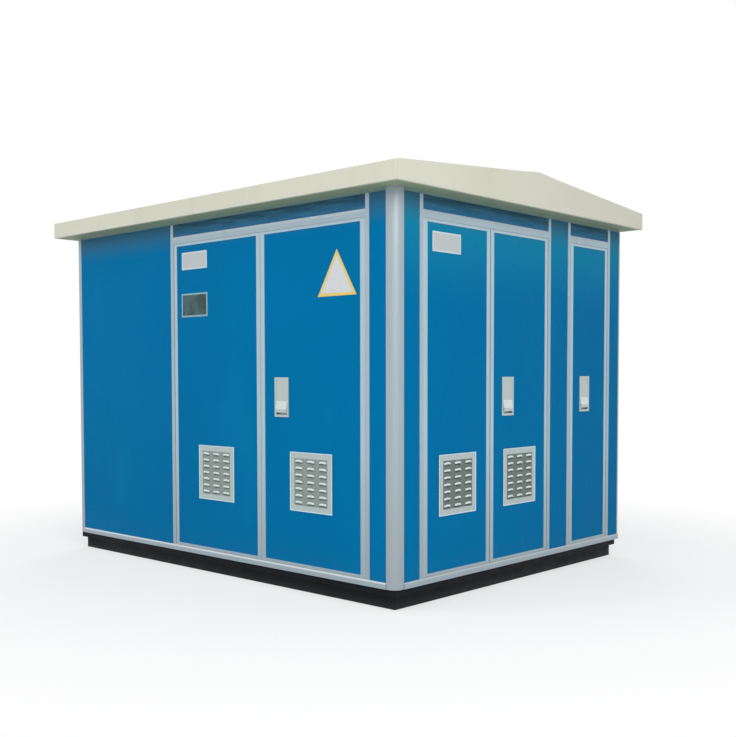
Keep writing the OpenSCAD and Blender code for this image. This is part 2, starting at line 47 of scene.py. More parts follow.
# Heights and faces taken from the frame
HALF_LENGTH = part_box("corner_posts")[1].x
HALF_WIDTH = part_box("corner_posts")[1].y
SILL_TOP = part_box("sill_rails")[1].z
WALL_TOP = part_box("top_rails")[0].z
LEAF_LOW_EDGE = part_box("front_left_panel")[0].z
LEAF_HIGH_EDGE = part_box("front_left_panel")[1].z
# Panels lie this far behind the wall face, leaves stand this far from their frames
PANEL_OUT = -0.003
LEAF_GAP = 0.005
# The pale lining of the panels and the ceiling starts this far behind the wall face
LINING_DEPTH = 0.018
# The hinge pins reach this far into the header rails, and the transom panels stand on these rails
PIN_SEAT = 0.014
HEADER_HEIGHT = 0.045
HEADER_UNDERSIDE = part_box("front_left_edging")[1].z - PIN_SEAT
TRANSOM_FOOT = HEADER_UNDERSIDE + HEADER_HEIGHT
# Vent plates: their size, and the sunken field round the louvres
VENT_LOW, VENT_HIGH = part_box("front_left_vent")
VENT_SIZE = VENT_HIGH.z - VENT_LOW.z
VENT_MIDDLE = (VENT_HIGH.z + VENT_LOW.z) / 2
FIELD_HALF_WIDTH = 0.140
FIELD_HALF_HEIGHT = 0.142
VENT_FACE_OUT = 0.001
# Louvre hoods: their spacing, the top edge of each above its cell's middle, and the curve of its arch
COLUMN_PITCH = 0.102
ROW_PITCH = 0.0415
HOOD_TOP = 0.0115
HOOD_CURVE = 5.0
# Handle flaps: half their width, and where they slope outwards, as shares of the handle's height
FLAP_HALF_WIDTH = 0.0485
FLAP_SLOPE = (0.2, 0.4)

HANDLES = ("front_right_handle", "end_right_handle", "single_handle")
PLATES = ("front_left_plate", "end_left_plate")
# Each vent node with its wall and its body
VENTS = {
    "front_left_vent": ("front", "front_left_leaf"), "front_right_vent": ("front", "front_right_leaf"),
    "end_left_vent": ("right", "end_left_leaf"), "end_right_vent": ("right", "end_right_leaf"),
    "rear_vents": ("rear", "housing"), "left_vents": ("left", "housing"),
}
# Each doorway with its wall and the edgings of its first and last leaf
DOORWAYS = {
    "front_doorway": ("front", "front_left_edging", "front_right_edging"),
    "end_doorway": ("right", "end_left_edging", "end_right_edging"),
    "single_doorway": ("right", "single_edging", "single_edging"),
}
# The wall faces: outward direction and the direction that runs along each
FACES = {
    "front": (Vector((0, -1, 0)), Vector((1, 0, 0))),
    "right": (Vector((1, 0, 0)), Vector((0, 1, 0))),
    "rear": (Vector((0, 1, 0)), Vector((-1, 0, 0))),
    "left": (Vector((-1, 0, 0)), Vector((0, -1, 0))),
}
# Soft round lamps: name, place, power, and whether metal and glass mirror them
LAMP_SIZE = 6.0
LAMP_AIM = Vector((0, 0, 1.1))
LAMPS = (
    ("key", Vector((7.5, -5.0, 6.5)), 460, True),
    ("fill", Vector((-4.0, -8.5, 6.0)), 230, False),
    ("back", Vector((-6.0, 7.5, 6.0)), 230, False),
)


def srgb(red, green, blue):
    """A colour written as 0 to 255, in Blender's linear values."""
    def linear(value):
        share = value / 255
        return share / 12.92 if share <= 0.04045 else ((share + 0.055) / 1.055) ** 2.4
    return (linear(red), linear(green), linear(blue), 1.0)


def shade(tone, change):
    """A colour as 0 to 255 made lighter or darker by the same step in each channel."""
    return srgb(*(min(255, max(0, value + change)) for value in tone))


def on_wall(face, along, height, out):
    """A point given along a wall, by its height and by how far it stands out of the wall's face."""
    outward, run = FACES[face]
    reach = HALF_WIDTH if outward.x == 0 else HALF_LENGTH
    return outward * (reach + out) + run * along + Vector((0, 0, height))


def span(name, face):
    """Low and high ends of a node along a wall and in height."""
    run = FACES[face][1]
    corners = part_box(name)
    ends = sorted(corner.dot(run) for corner in corners)
    return ends[0], ends[1], corners[0].z, corners[1].z


def stand_out(name, face):
    """How far the outer face of a node stands out of the wall's face; negative behind it."""
    outward = FACES[face][0]
    return max(corner.dot(outward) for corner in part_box(name)) - on_wall(face, 0, 0, 0).dot(outward)


# Materials

class Finish:
    """One node material. Each method adds nodes and returns the output that the next one takes."""

    def __init__(self, name, **settings):
        self.material = bpy.data.materials.new(name)
        self.material.use_nodes = True
        self.tree = self.material.node_tree
        self.shader = self.tree.nodes["Principled BSDF"]
        for socket, value in settings.items():
            self.shader.inputs[socket.replace("_", " ")].default_value = value
        self.place = self.tree.nodes.new("ShaderNodeTexCoord").outputs["Object"]
        self.normal = None

    def fill(self, socket, value):
        """Links another node's output to a socket, or sets the socket to a plain value."""
        if isinstance(value, bpy.types.NodeSocket):
            self.tree.links.new(value, socket)
        else:
            socket.default_value = value

    def add(self, kind, inputs, **settings):
        node = self.tree.nodes.new(kind)
        for key, value in settings.items():
            setattr(node, key, value)
        for socket, value in inputs.items():
            self.fill(node.inputs[socket], value)
        return node

    def math(self, operation, first, second=0.0):
        return self.add("ShaderNodeMath", {0: first, 1: second}, operation=operation).outputs[0]

    def axis(self, letter):
        return self.add("ShaderNodeSeparateXYZ", {0: self.place}).outputs[letter]

    def noise(self, scale, stretch=(1, 1, 1), detail=3.0):
        spread = self.add("ShaderNodeMapping", {"Vector": self.place, "Scale": stretch})
        inputs = {"Vector": spread.outputs[0], "Scale": scale, "Detail": detail}
        return self.add("ShaderNodeTexNoise", inputs).outputs["Fac"]

    def levels(self, value, low, high, to_low=0.0, to_high=1.0):
        inputs = {"Value": value, "From Min": low, "From Max": high, "To Min": to_low, "To Max": to_high}
        return self.add("ShaderNodeMapRange", inputs, interpolation_type="SMOOTHSTEP").outputs[0]

    def mix(self, share, first, second):
        return self.add("ShaderNodeMix", {0: share, 6: first, 7: second}, data_type="RGBA").outputs[2]

    def wall_depth(self):
        """How far a point lies outside the nearest wall face; negative inside the housing."""
        along = self.math("SUBTRACT", self.math("ABSOLUTE", self.axis("X")), HALF_LENGTH)
        across = self.math("SUBTRACT", self.math("ABSOLUTE", self.axis("Y")), HALF_WIDTH)
        return self.math("MAXIMUM", along, across)

    def tilt(self):
        """How far a face looks up: one on top, zero on a wall, below zero underneath."""
        facing = self.tree.nodes.new("ShaderNodeNewGeometry").outputs["True Normal"]
        return self.add("ShaderNodeSeparateXYZ", {0: facing}).outputs["Z"]

    def beyond(self, letter, limit):
        """One where a point lies further from the middle along an axis than a limit."""
        return self.math("GREATER_THAN", self.math("ABSOLUTE", self.axis(letter)), limit)

    def behind(self, depth):
        """One where a point lies deeper behind the nearest wall face than a depth."""
        return self.math("LESS_THAN", self.wall_depth(), -depth)

    def between(self, value, low, high):
        """One where the value lies between two limits."""
        above = self.math("GREATER_THAN", value, low)
        return self.math("MULTIPLY", above, self.math("LESS_THAN", value, high))

    def colour(self, output):
        self.fill(self.shader.inputs["Base Color"], output)

    def rough(self, pattern, low, high):
        """Roughness that goes from low to high with a pattern."""
        self.fill(self.shader.inputs["Roughness"], self.levels(pattern, 0.3, 0.7, low, high))

    def relief(self, height, depth):
        """Adds a bump on top of those added before."""
        inputs = {"Height": height, "Distance": depth}
        if self.normal:
            inputs["Normal"] = self.normal
        self.normal = self.add("ShaderNodeBump", inputs).outputs[0]
        self.fill(self.shader.inputs["Normal"], self.normal)


def blue_sheet():
    """Colour-coated sheet with patches of painted reflection haze, a painted sheen towards the top of the
    end walls, painted shade that greys it under the eaves and on the transom panels, and pale lining on the
    inner half of each panel.
    """
    finish = Finish("blue_sheet", IOR=1.07)
    height = finish.axis("Z")
    blue = finish.mix(finish.noise(0.9, (1, 1, 0.6), 2), srgb(0, 101, 150), srgb(0, 112, 163))
    # Painted reflection: soft lighter patches of haze on the sheet.
    reflection_patches = finish.levels(finish.noise(2.3, (1, 1, 0.35), 4), 0.56, 0.78, 0.0, 0.3)
    reflection_hazed = finish.mix(reflection_patches, blue, srgb(12, 124, 170))
    grime_height = 0.18
    grime = finish.levels(height, SILL_TOP, SILL_TOP + grime_height, 0.1, 0.0)
    dusty = finish.mix(finish.math("MULTIPLY", grime, finish.noise(9, detail=5)), reflection_hazed, srgb(70, 116, 138))
    # Painted sheen: the end walls are lightened towards the top.
    end_sheened = finish.mix(end_wall_sheen(finish, height), dusty, srgb(28, 136, 160))
    eaves_shade = 0.2
    under_eaves = finish.levels(height, WALL_TOP - eaves_shade, WALL_TOP, 0.0, 0.8)
    # Painted shade: the sheet greys in the roof's shadow just under the eaves.
    eaves_darkened = finish.mix(under_eaves, end_sheened, srgb(62, 104, 126))
    # Painted shade and painted reflection on the transom panels over the doors.
    outside = finish.mix(over_doors(finish, height), eaves_darkened, transom_shade_and_reflection(finish, height))
    lining = finish.mix(finish.noise(3.0), srgb(196, 202, 202), srgb(210, 214, 212))
    finish.colour(finish.mix(finish.behind(LINING_DEPTH), outside, lining))
    finish.rough(finish.noise(5, detail=4), 0.24, 0.4)
    finish.relief(finish.noise(1.6, detail=1), 0.004)
    finish.relief(finish.noise(420, detail=2), 0.00004)
    return finish.material


def end_wall_sheen(finish, height):
    """The share of painted sheen on the end walls, which grows towards the top."""
    start, full, most = 0.65, 0.05, 0.55
    band = finish.levels(height, WALL_TOP - start, WALL_TOP - full, 0.0, most)
    return finish.math("MULTIPLY", finish.beyond("X", HALF_LENGTH + 2 * PANEL_OUT), band)


def over_doors(finish, height):
    """One on the transom panels over the doors and on the same panels of the walls behind them."""
    inside = finish.math("LESS_THAN", height, 0.0)
    for face, first, last in DOORWAYS.values():
        low, high = span(first, face)[0] - LEAF_GAP, span(last, face)[1] + LEAF_GAP
        letters, side, edge = ("XY", -1, HALF_WIDTH) if face == "front" else ("YX", 1, HALF_LENGTH)
        along, outward = (finish.axis(letter) for letter in letters)
        # The wall behind runs the other way round
        turned = finish.math("MULTIPLY", along, finish.math("MULTIPLY", finish.math("SIGN", outward), side))
        near_face = finish.beyond(letters[1], edge + 2 * PANEL_OUT)
        share = finish.math("MULTIPLY", near_face, finish.between(turned, low, high))
        inside = finish.math("MAXIMUM", inside, share)
    return finish.math("MULTIPLY", inside, finish.math("GREATER_THAN", height, TRANSOM_FOOT))


def transom_shade_and_reflection(finish, height):
    """Painted shade on the transom panels, darkest at the top and lighter towards its foot, with faint
    level ripples of painted reflection.
    """
    # Painted reflection: faint lighter level streaks.
    streaks = finish.levels(finish.noise(4, (1, 1, 14), 2), 0.4, 0.68, 0.0, 0.55)
    shaded = finish.mix(finish.levels(height, TRANSOM_FOOT, WALL_TOP), srgb(46, 102, 138), srgb(50, 82, 98))
    return finish.mix(streaks, shaded, srgb(64, 118, 148))


def aluminium(name, tone, metallic=0.6):
    """Satin anodised profile with fine drawing lines along its length, painted shade towards the bottom,
    and painted light that makes faces looking up paler.
    """
    finish = Finish(name, Metallic=metallic)
    upright = finish.noise(260, (1, 1, 0.012))
    level = finish.noise(260, (0.012, 0.012, 1))
    standing = finish.between(finish.axis("Z"), LEAF_LOW_EDGE, LEAF_HIGH_EDGE)
    lines = finish.mix(standing, level, upright)
    streaked = finish.mix(lines, shade(tone, -12), shade(tone, 9))
    stained = finish.levels(finish.noise(6, (1, 1, 0.3), 5), 0.5, 0.8, 0.0, 0.25)
    worn = finish.mix(stained, streaked, shade(tone, -24))
    # Painted shade: the profile darkens towards the bottom.
    low_shade_from, low_shade_to = SILL_TOP - 0.03, SILL_TOP + 0.9
    painted_low_shade = finish.levels(finish.axis("Z"), low_shade_from, low_shade_to, 0.6, 0.0)
    low = finish.mix(painted_low_shade, worn, srgb(152, 162, 166))
    # Painted light: faces that look up get a paler tone, paler still on the end walls.
    rail_depth = 0.02
    on_ends = finish.beyond("X", HALF_LENGTH - rail_depth)
    upper = finish.mix(on_ends, srgb(208, 215, 218), srgb(178, 186, 189))
    finish.colour(finish.mix(finish.levels(finish.tilt(), 0.04, 0.4), low, upper))
    finish.rough(lines, 0.38, 0.52)
    finish.relief(lines, 0.00008)
    return finish.material


def roof_paint():
    """Beige paint over coated sheet, a little chalky, with soft run-off marks, and painted shade that
    darkens the corners.
    """
    finish = Finish("roof_paint", IOR=1.25)
    paint = finish.mix(finish.noise(1.2), srgb(198, 198, 181), srgb(208, 208, 193))
    streaks = finish.levels(finish.noise(7, (1, 0.15, 0.12), 5), 0.52, 0.8, 0.0, 0.35)
    marked = finish.mix(streaks, paint, srgb(186, 185, 167))
    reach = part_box("gable_fascias")[1]
    rounding = 0.012
    at_end, at_side = finish.beyond("X", reach.x - rounding), finish.beyond("Y", reach.y - rounding)
    corner_shade = finish.math("MULTIPLY", at_end, at_side)
    # Painted shade on the rounded corners of the fascias.
    finish.colour(finish.mix(corner_shade, marked, srgb(191, 192, 175)))
    finish.rough(finish.noise(30, detail=4), 0.5, 0.7)
    finish.relief(finish.noise(2.0, detail=1), 0.0015)
    finish.relief(finish.noise(500, detail=2), 0.00008)
    return finish.material


def soffit_paint():
    """Dull green paint under the eaves, pale lining over the room."""
    finish = Finish("soffit_paint", IOR=1.2)
    mottle = finish.noise(8, detail=5)
    green = finish.mix(mottle, srgb(139, 153, 127), srgb(153, 167, 141))
    lining = finish.mix(mottle, srgb(196, 202, 202), srgb(210, 214, 212))
    finish.colour(finish.mix(finish.behind(LINING_DEPTH), green, lining))
    finish.rough(finish.noise(20, detail=4), 0.6, 0.8)
    finish.relief(finish.noise(300), 0.0001)
    return finish.material


def flat_paint(name, tone, roughness):
    """Dull paint with a slight mottle."""
    finish = Finish(name, IOR=1.2)
    finish.colour(finish.mix(finish.noise(8, detail=5), shade(tone, -7), shade(tone, 7)))
    finish.rough(finish.noise(20, detail=4), roughness - 0.08, roughness + 0.1)
    finish.relief(finish.noise(300), 0.0001)
    return finish.material


def base_paint():
    """Black paint on rolled steel, dusty towards the ground."""
    finish = Finish("base_paint", IOR=1.18)
    mottle = finish.noise(12, detail=5)
    black = finish.mix(mottle, srgb(15, 19, 22), srgb(25, 29, 33))
    splash_height = 0.05
    low = finish.levels(finish.axis("Z"), 0.0, splash_height, 0.3, 0.0)
    dust = finish.math("MULTIPLY", low, finish.noise(25, detail=6))
    finish.colour(finish.mix(dust, black, srgb(84, 84, 80)))
    finish.rough(mottle, 0.4, 0.62)
    finish.relief(finish.noise(160, detail=5), 0.00025)
    return finish.material


def pressed_sheet(name, middle, spacing, along, field_shade):
    """Pressed vent sheet: painted shade in the sunken field round the louvres, and a painted highlight on
    top of the hoods.
    """
    finish = Finish(name, Metallic=0.45)
    offset = finish.math("ABSOLUTE", finish.math("SUBTRACT", finish.axis(along), middle))
    offset = finish.math("ABSOLUTE", finish.math("SUBTRACT", offset, spacing))
    height = finish.math("ABSOLUTE", finish.math("SUBTRACT", finish.axis("Z"), VENT_MIDDLE))
    sideways = finish.math("SUBTRACT", offset, FIELD_HALF_WIDTH)
    reach = finish.math("MAXIMUM", sideways, finish.math("SUBTRACT", height, FIELD_HALF_HEIGHT))
    field = finish.levels(reach, 0.0, 0.001, 1.0, 0.0)
    grain = finish.noise(240)
    rim = finish.mix(grain, srgb(166, 180, 178), srgb(184, 197, 195))
    # Painted shade: the sunken field is darker than the rim, darker still on the end walls.
    field_tone = [value - field_shade for value in (136, 149, 144)]
    shaded_field = finish.mix(grain, shade(field_tone, -8), shade(field_tone, 8))
    # Painted highlight on the upper part of each hood.
    highlighted = finish.mix(hood_highlight(finish, offset), finish.mix(field, rim, shaded_field), srgb(212, 222, 219))
    finish.colour(highlighted)
    finish.rough(finish.noise(40, detail=4), 0.4, 0.56)
    finish.relief(grain, 0.00006)
    return finish.material


def hood_highlight(finish, offset):
    """One on the arched upper part of each louvre hood, fading at its ends; a painted highlight goes there.
    """
    column = finish.math("ROUND", finish.math("DIVIDE", offset, COLUMN_PITCH))
    sideways = finish.math("SUBTRACT", offset, finish.math("MULTIPLY", column, COLUMN_PITCH))
    height = finish.math("SUBTRACT", finish.axis("Z"), VENT_MIDDLE)
    row = finish.math("ROUND", finish.math("DIVIDE", height, ROW_PITCH))
    upward = finish.math("SUBTRACT", height, finish.math("MULTIPLY", row, ROW_PITCH))
    droop = finish.math("MULTIPLY", finish.math("MULTIPLY", sideways, sideways), HOOD_CURVE)
    above = finish.math("ADD", upward, droop)
    fade = 0.004
    crown_foot = -0.003
    below_top = finish.levels(above, HOOD_TOP - fade, HOOD_TOP, 1.0, 0.0)
    over_foot = finish.levels(above, crown_foot, crown_foot + fade)
    raised = finish.levels(finish.wall_depth(), VENT_FACE_OUT + 0.0003, VENT_FACE_OUT + 0.0015)
    return finish.math("MULTIPLY", finish.math("MULTIPLY", below_top, over_foot), raised)


def brushed_steel(name, tone):
    """Handle metal, brushed upright, with a painted highlight on the flap's slope; the dish behind it is
    darkened as painted shade.
    """
    finish = Finish(name + "_metal", Metallic=0.6)
    letter = "X" if name.startswith("front") else "Y"
    low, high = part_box(name)
    middle = (getattr(low, letter.lower()) + getattr(high, letter.lower())) / 2
    offset = finish.math("ABSOLUTE", finish.math("SUBTRACT", finish.axis(letter), middle))
    on_flap = finish.math("LESS_THAN", offset, FLAP_HALF_WIDTH)
    height = finish.math("DIVIDE", finish.math("SUBTRACT", finish.axis("Z"), low.z), high.z - low.z)
    lit_slope = finish.math("MULTIPLY", finish.between(height, *FLAP_SLOPE), on_flap)
    lines = finish.noise(420, (1, 1, 0.02))
    metal = finish.mix(lines, shade(tone, -10), shade(tone, 9))
    # Painted highlight on the flap's sloping band.
    flap_highlight = finish.mix(lit_slope, metal, shade(tone, 26))
    # Painted shade: the dish behind the flap is darker.
    finish.colour(finish.mix(finish.behind(-PANEL_OUT), flap_highlight, srgb(160, 166, 164)))
    finish.rough(lines, 0.3, 0.42)
    finish.relief(lines, 0.00005)
    return finish.material


def enamel(name, tone, spread=6):
    """Enamelled plate, nearly even, with faint wear."""
    finish = Finish(name, IOR=1.35)
    worn = finish.noise(60, detail=6)
    finish.colour(finish.mix(worn, shade(tone, -spread), shade(tone, spread)))
    finish.rough(finish.noise(90, detail=4), 0.3, 0.45)
    finish.relief(worn, 0.00004)
    return finish.material


def tinted_glass():
    """Dark greenish pane with faint dust and cloudy patches."""
    finish = Finish("tinted_glass", IOR=1.45, Transmission_Weight=0.3)
    cloud = finish.levels(finish.noise(16, (1, 1, 0.6), 2), 0.4, 0.6)
    dust = finish.levels(finish.noise(18, detail=5), 0.5, 0.85, 0.0, 0.4)
    pane = finish.mix(cloud, srgb(26, 62, 66), srgb(56, 98, 100))
    finish.colour(finish.mix(dust, pane, srgb(88, 126, 126)))
    finish.rough(dust, 0.04, 0.2)
    finish.relief(finish.noise(3, detail=1), 0.0006)
    return finish.material


def tread_plate():
    """Steel floor with raised studs in a slanted grid."""
    finish = Finish("tread_plate", Metallic=0.8)
    studs_per_metre = 33
    scale = (studs_per_metre, studs_per_metre, studs_per_metre)
    turned = finish.add("ShaderNodeMapping", {"Vector": finish.place, "Scale": scale})
    turned.inputs["Rotation"].default_value = (0, 0, math.radians(45))
    grid = {"Vector": turned.outputs[0], "Randomness": 0.0, "Scale": 1.0}
    cells = finish.add("ShaderNodeTexVoronoi", grid).outputs["Distance"]
    studs = finish.levels(cells, 0.2, 0.36, 1.0, 0.0)
    scuffed = finish.noise(14, detail=6)
    steel = finish.mix(scuffed, srgb(104, 108, 110), srgb(146, 150, 152))
    finish.colour(finish.mix(finish.math("MULTIPLY", studs, 0.4), steel, srgb(176, 180, 182)))
    finish.rough(scuffed, 0.36, 0.6)
    finish.relief(studs, 0.0015)
    return finish.material


def rubber(name, tone):
    """Matt rubber with a faint bloom."""
    finish = Finish(name, IOR=1.2)
    bloom = finish.noise(70, detail=5)
    finish.colour(finish.mix(bloom, shade(tone, -9), shade(tone, 9)))
    finish.rough(bloom, 0.6, 0.8)
    finish.relief(finish.noise(600, detail=2), 0.00005)
    return finish.material


def insect_mesh():
    """Woven wire behind the louvres, as a fine grid of ridges."""
    finish = Finish("insect_mesh", Metallic=0.4)
    pitch = 0.0025
    waves = []
    for letter in "XYZ":
        turn = finish.math("MULTIPLY", finish.axis(letter), 2 * math.pi / pitch)
        waves.append(finish.math("SINE", turn))
    weave = finish.math("MAXIMUM", finish.math("MAXIMUM", waves[0], waves[1]), waves[2])
    wires = finish.levels(weave, 0.55, 0.95)
    finish.colour(finish.mix(wires, srgb(58, 62, 60), srgb(128, 134, 130)))
    finish.rough(finish.noise(50), 0.5, 0.7)
    finish.relief(wires, 0.0004)
    return finish.material


# Finishes of the CAD nodes

def dress(material, *names):
    """Gives CAD nodes one material."""
    for name in names:
        node = nodes[name]
        node.data.materials.clear()
        node.data.materials.append(material)


def soften(width, *names):
    """Rounds the sharp edges of CAD nodes a little, so that they catch the light."""
    for name in names:
        node = nodes[name]
        weld = node.modifiers.new("weld", "WELD")
        weld.merge_threshold = 0.00002
        bevel = node.modifiers.new("bevel", "BEVEL")
        bevel.width = width
        bevel.segments = 2
        bevel.limit_method = "ANGLE"
        bevel.angle_limit = math.radians(40)
        bevel.use_clamp_overlap = True
        bevel.miter_outer = "MITER_ARC"
        node.modifiers.new("even", "WEIGHTED_NORMAL")


def dress_frame():
    """Gives every CAD node its finish, and rounds the edges that the light catches."""
    panels = [name for name in nodes if name.endswith(("_panel", "_wall"))]
    edgings = [name for name in nodes if name.endswith("_edging")]
    frames = ["front_frame", "end_frame", "rear_frame", "left_frame", "sill_rails"]
    base = ["base_long_beams", "base_cross_beams"]
    dress(blue_sheet(), *panels)
    dress(aluminium("leaf_edging", (172, 195, 206)), *edgings)
    dress(aluminium("fixed_frame", (165, 184, 194)), *frames)
    dress(aluminium("corner_profile", (161, 173, 179), 0.35), "corner_posts")
    dress(roof_paint(), "roof_panels", "eave_fascias", "gable_fascias", "ridge_cap")
    dress(soffit_paint(), "ceiling_plate")
    dress(flat_paint("dull_rail", (130, 156, 148), 0.6), "top_rails")
    dress(base_paint(), *base)
    dress(tread_plate(), "floor_plate")
    for name in HANDLES:
        dress(brushed_steel(name, (182, 192, 191)), name)
    dress(enamel("plate_metal", (196, 208, 210)), *PLATES)
    dress(enamel("window_rim", (132, 166, 172)), "window_frame")
    dress(enamel("yellow_rim", (216, 192, 106)), "triangular_plate")
    dress(tinted_glass(), "window_pane")
    for name, (face, _) in VENTS.items():
        letter = "X" if face in ("front", "rear") else "Y"
        low, high = (getattr(corner, letter.lower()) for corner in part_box(name))
        spacing = (high - low - VENT_SIZE) / 2
        # The photo shows the end wall's vents darker inside
        # Painted shade: the end walls' vent fields are darkened further.
        field_shade = 0 if letter == "X" else 32
        dress(pressed_sheet(name + "_sheet", (low + high) / 2, spacing, letter, field_shade), name)
    soften(0.0008, *edgings, *frames, "corner_posts")
    soften(0.002, "eave_fascias", "gable_fascias", *base)
    soften(0.0004, *VENTS, *HANDLES, *PLATES, "triangular_plate", "window_frame")


# Small parts

def finish_piece(name, source, material, body, smooth=False):
    """Turns mesh data into a piece of the scene that moves with a body."""
    mesh = bpy.data.meshes.new(name)
    bmesh.ops.recalc_face_normals(source, faces=source.faces)
    source.to_mesh(mesh)
    source.free()
    mesh.materials.append(material)
    for polygon in mesh.polygons:
        polygon.use_smooth = smooth
    piece = bpy.data.objects.new(name, mesh)
    bpy.context.scene.collection.objects.link(piece)
    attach(piece, body)


def add_prism(source, outline, depth):
    """A solid between an outline of points and its copy moved by depth."""
    near = [source.verts.new(point) for point in outline]
    far = [source.verts.new(point + depth) for point in outline]
    source.faces.new(near)
    source.faces.new(far)
    for index in range(len(outline)):
        following = (index + 1) % len(outline)
        source.faces.new((near[index], near[following], far[following], far[index]))


def add_bar(source, face, along, heights, outs):
    """A straight bar on a wall, given by its two ends along it, in height and in depth."""
    (start, end), (foot, head) = along, heights
    corners = [(start, foot), (end, foot), (end, head), (start, head)]
    outline = [on_wall(face, place, height, outs[1]) for place, height in corners]
    add_prism(source, outline, FACES[face][0] * (outs[0] - outs[1]))


def add_dome(source, centre, outward, radius, height):
    """A low domed rivet head that sits on a face."""
    rings = 4
    sides = 14
    turn = outward.to_track_quat("Z", "Y").to_matrix()
    circles = []
    for ring in range(rings):
        angle = math.pi / 2 * ring / rings
        circle = []
        for side in range(sides):
            bearing = 2 * math.pi * side / sides
            width = radius * math.cos(angle)
            local = Vector((width * math.cos(bearing), width * math.sin(bearing), height * math.sin(angle)))
            circle.append(source.verts.new(centre + turn @ local))
        circles.append(circle)
    top = source.verts.new(centre + outward * height)
    for lower, upper in zip(circles, circles[1:]):
        for side in range(sides):
            following = (side + 1) % sides
            source.faces.new((lower[side], lower[following], upper[following], upper[side]))
    for side in range(sides):
        source.faces.new((circles[-1][side], circles[-1][(side + 1) % sides], top))
    source.faces.new(list(reversed(circles[0])))


def border_spots(extent, inset, columns, rows):
    """Places round a rectangle, evenly spaced along each edge."""
    low, high, bottom, top = extent
    across = [low + inset + (high - low - 2 * inset) * i / (columns - 1) for i in range(columns)]
    upward = [bottom + inset + (top - bottom - 2 * inset) * j / (rows - 1) for j in range(rows)]
    edge = [(along, height) for along in across for height in (upward[0], upward[-1])]
    sides = [(along, height) for along in (across[0], across[-1]) for height in upward[1:-1]]
    return edge + sides


def vent_extents(name, face):
    """The extent of each vent plate in a node, which holds one or two."""
    low, high, bottom, top = span(name, face)
    starts = [low] if high - low < 1.5 * VENT_SIZE else [low, high - VENT_SIZE]
    return [(start, start + VENT_SIZE, bottom, top) for start in starts]


def add_ring(source, face, extent, inset, section):
    """A mitred ring round a rectangle on a wall, from a section of insets and depths."""
    low, high, bottom, top = extent
    loops = []
    for step, out in section:
        reach = inset + step
        corners = [(low + reach, bottom + reach), (high - reach, bottom + reach),
                   (high - reach, top - reach), (low + reach, top - reach)]
        loops.append([source.verts.new(on_wall(face, along, height, out)) for along, height in corners])
    for near, far in zip(loops, loops[1:] + loops[:1]):
        for side in range(4):
            following = (side + 1) % 4
            source.faces.new((near[side], near[following], far[following], far[side]))


def vent_parts():
    """Rivets and a rolled edge with a painted highlight round each vent plate, and the tray with insect
    mesh behind it.
    """
    steel = enamel("rivet_metal", (172, 184, 182))
    # Painted highlight: the rolled edge is paler than the plate it is rolled from.
    highlighted = enamel("highlit_rolled_edge", (194, 218, 228))
    wire = insect_mesh()
    painted = flat_paint("mesh_tray", (120, 126, 124), 0.5)
    rivet_inset, rivet_radius, rivet_height = 0.016, 0.0042, 0.0016
    lap = 0.0305
    border = 0.014
    back = PANEL_OUT - 0.0003
    mesh_back = PANEL_OUT - 0.009
    mesh_thickness = 0.0012
    rolled = [(0.0, PANEL_OUT + 0.0005), (0.0, VENT_FACE_OUT + 0.0006), (0.002, VENT_FACE_OUT + 0.0018),
              (0.005, VENT_FACE_OUT + 0.0016), (0.007, VENT_FACE_OUT - 0.0004)]
    for name, (face, body) in VENTS.items():
        rivets, edges, meshes, trays = (bmesh.new() for _ in range(4))
        for extent in vent_extents(name, face):
            add_ring(edges, face, extent, 0.0, rolled)
            for along, height in border_spots(extent, rivet_inset, 3, 3):
                spot = on_wall(face, along, height, VENT_FACE_OUT)
                add_dome(rivets, spot, FACES[face][0], rivet_radius, rivet_height)
            left, right, foot, head = extent[0] + lap, extent[1] - lap, extent[2] + lap, extent[3] - lap
            add_bar(meshes, face, (left, right), (foot, head), (mesh_back - mesh_thickness, mesh_back))
            for heights in ((foot, foot + border), (head - border, head)):
                add_bar(trays, face, (left, right), heights, (mesh_back, back))
            for along in ((left, left + border), (right - border, right)):
                add_bar(trays, face, along, (foot + border, head - border), (mesh_back, back))
        finish_piece(name + "_rivets", rivets, steel, body, smooth=True)
        finish_piece(name + "_highlit_rolled_edge", edges, highlighted, body)
        finish_piece(name + "_mesh", meshes, wire, body)
        finish_piece(name + "_tray", trays, painted, body)


def plate_rivets():
    """Small rivets at the corners of the name plates and round the window's rim."""
    steel = enamel("plate_rivet", (176, 188, 188))
    radius, rise = 0.0026, 0.001
    # Each node with its wall and body, the rivets' inset, and how many stand across and upwards
    places = [
        ("front_left_plate", "front", "front_left_leaf", 0.009, 2, 2),
        ("end_left_plate", "right", "end_left_leaf", 0.009, 2, 2),
        ("window_frame", "front", "front_left_leaf", 0.0065, 4, 3),
    ]
    for name, face, body, inset, columns, rows in places:
        rivets = bmesh.new()
        for along, height in border_spots(span(name, face), inset, columns, rows):
            spot = on_wall(face, along, height, stand_out(name, face))
            add_dome(rivets, spot, FACES[face][0], radius, rise)
        finish_piece(name + "_rivets", rivets, steel, body, smooth=True)


